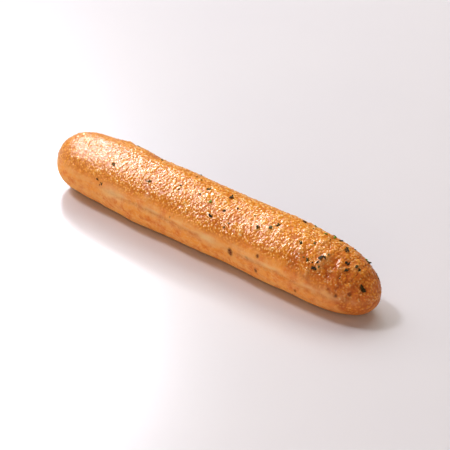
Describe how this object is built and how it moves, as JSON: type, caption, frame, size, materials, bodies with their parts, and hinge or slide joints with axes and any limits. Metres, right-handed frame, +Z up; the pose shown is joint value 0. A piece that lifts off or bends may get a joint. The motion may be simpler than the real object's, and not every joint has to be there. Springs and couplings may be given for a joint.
{
  "type": "breadstick",
  "caption": "Soft baked breadstick: a long round-topped stick with blunt ends, a flat baked foot, and a blistered golden crust flecked with dried herbs.",
  "frame": {"origin": "on the surface the stick rests on, under the centre of its box", "axes": "+X along the stick towards its slimmer, sagging end, +Z up, away from the flat baked foot"},
  "size_m": [0.19, 0.0336, 0.031],
  "materials": {
    "baked_crust": "satin",
    "dried_herbs": "satin"
  },
  "bodies": {
    "root": {"breadstick": "baked_crust"}
  },
  "joints": []
}
